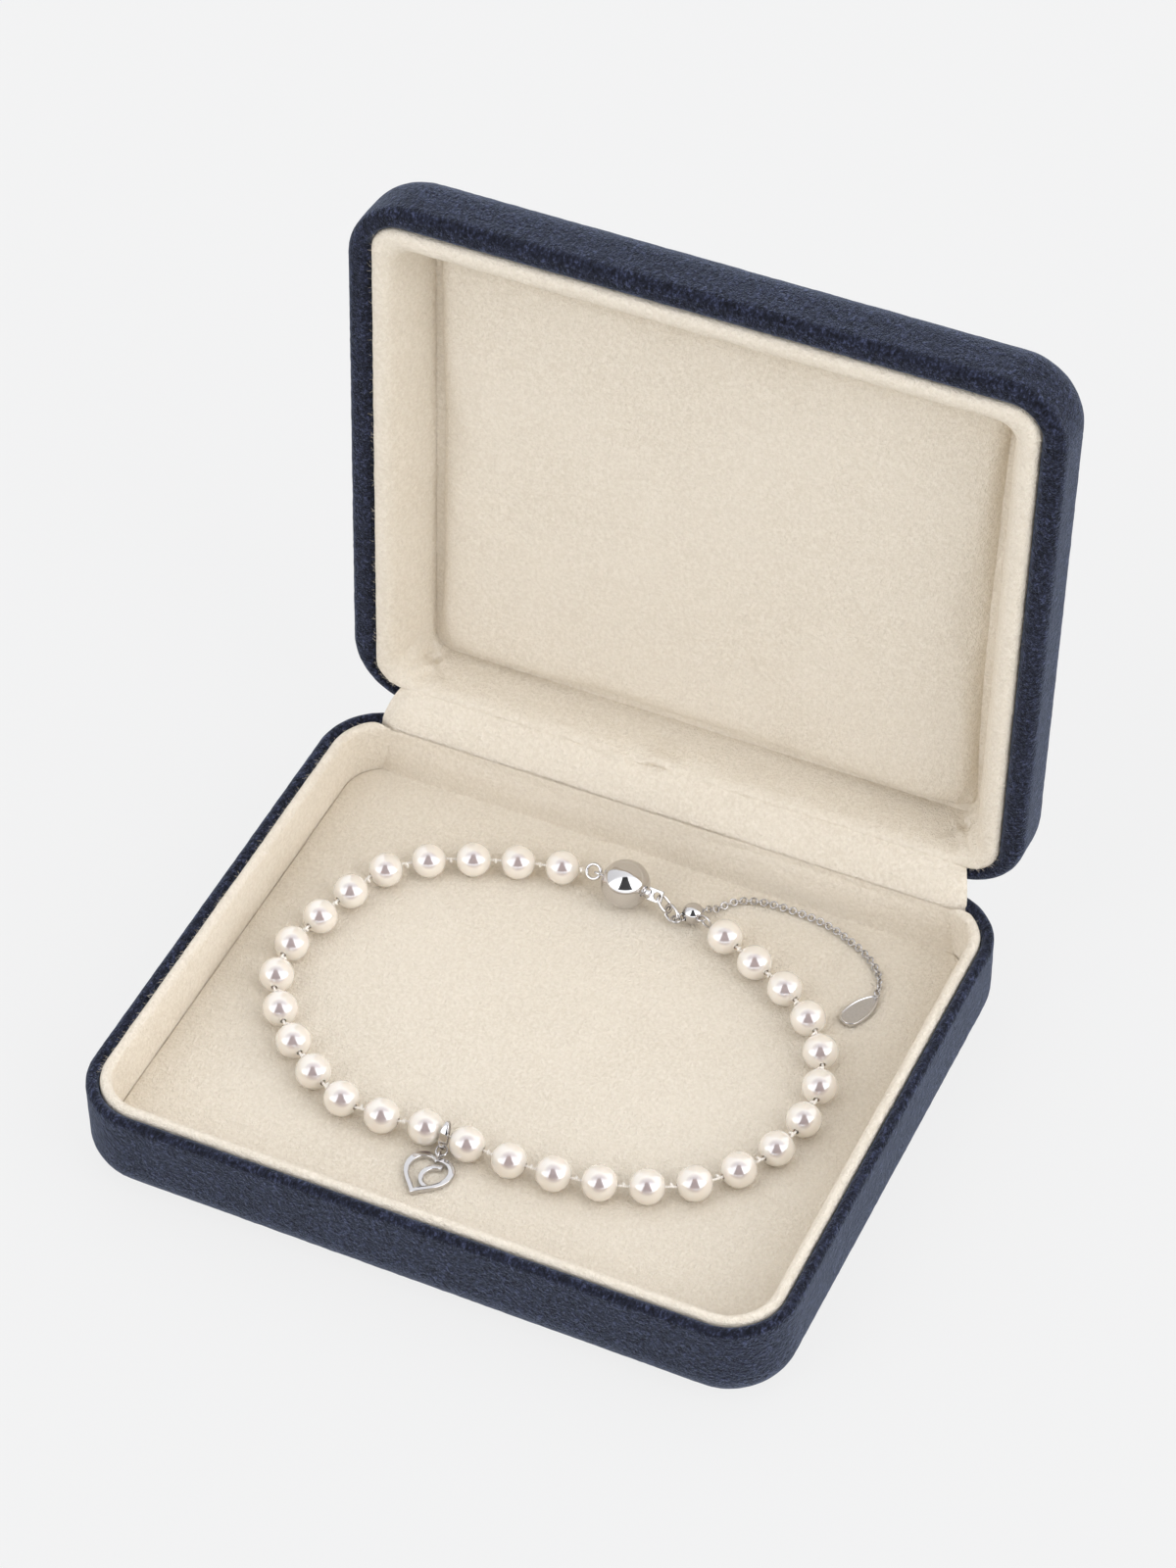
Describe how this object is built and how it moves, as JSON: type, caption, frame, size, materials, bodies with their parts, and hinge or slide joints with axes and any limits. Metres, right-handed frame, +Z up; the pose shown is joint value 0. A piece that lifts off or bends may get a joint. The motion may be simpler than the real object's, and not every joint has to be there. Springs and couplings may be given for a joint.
{
  "type": "beaded anklet in hinged presentation box",
  "caption": "Pearl anklet with ball clasp, adjuster chain and heart charm, lying in an open suede-covered box with a hinged lid.",
  "frame": {"origin": "centre of the box's underside", "axes": "+X to the box's right, +Y to its hinge side, +Z up; the front edge faces -Y"},
  "size_m": [0.118, 0.1189, 0.1155],
  "materials": {
    "suede": "navy microsuede with a mottled nap",
    "lining": "cream brushed suede",
    "pearl": "white nacre with a pink overtone",
    "silk": "pale silk thread",
    "silver": "polished white metal"
  },
  "bodies": {
    "base": {"pearl_01": "pearl", "pearl_02": "pearl", "pearl_03": "pearl", "pearl_04": "pearl", "pearl_05": "pearl", "pearl_06": "pearl", "pearl_07": "pearl", "pearl_08": "pearl", "pearl_09": "pearl", "pearl_10": "pearl", "pearl_11": "pearl", "pearl_12": "pearl", "pearl_13": "pearl", "pearl_14": "pearl", "pearl_15": "pearl", "pearl_16": "pearl", "pearl_17": "pearl", "pearl_18": "pearl", "pearl_19": "pearl", "pearl_20": "pearl", "pearl_21": "pearl", "pearl_22": "pearl", "pearl_23": "pearl", "pearl_24": "pearl", "pearl_25": "pearl", "pearl_26": "pearl", "pearl_27": "pearl", "pearl_28": "pearl", "pearl_29": "pearl", "pearl_30": "pearl", "hinge_rod": "silver", "strand_ring": "silver", "clasp_ball": "silver", "clasp_tongue": "silver", "tongue_link": "silver", "clasp_ring": "silver", "adjuster_chain": "silver", "slider_ball": "silver", "slider_loop": "silver", "end_plate": "silver", "bail": "silver", "charm_ring": "silver", "charm": "silver", "thread": "silk", "base_shell": "suede", "base_lining": "lining", "base_pad": "lining", "hinge_flap": "lining"},
    "lid": {"lid_shell": "suede", "lid_lining": "lining", "lid_cushion": "lining"}
  },
  "joints": [
    {"name": "lid_hinge", "type": "hinge", "parent": "base", "child": "lid", "pos_m": [0, 0.0498, 0.0168], "axis": [1, 0, 0], "range_deg": [0, 93.7]}
  ]
}
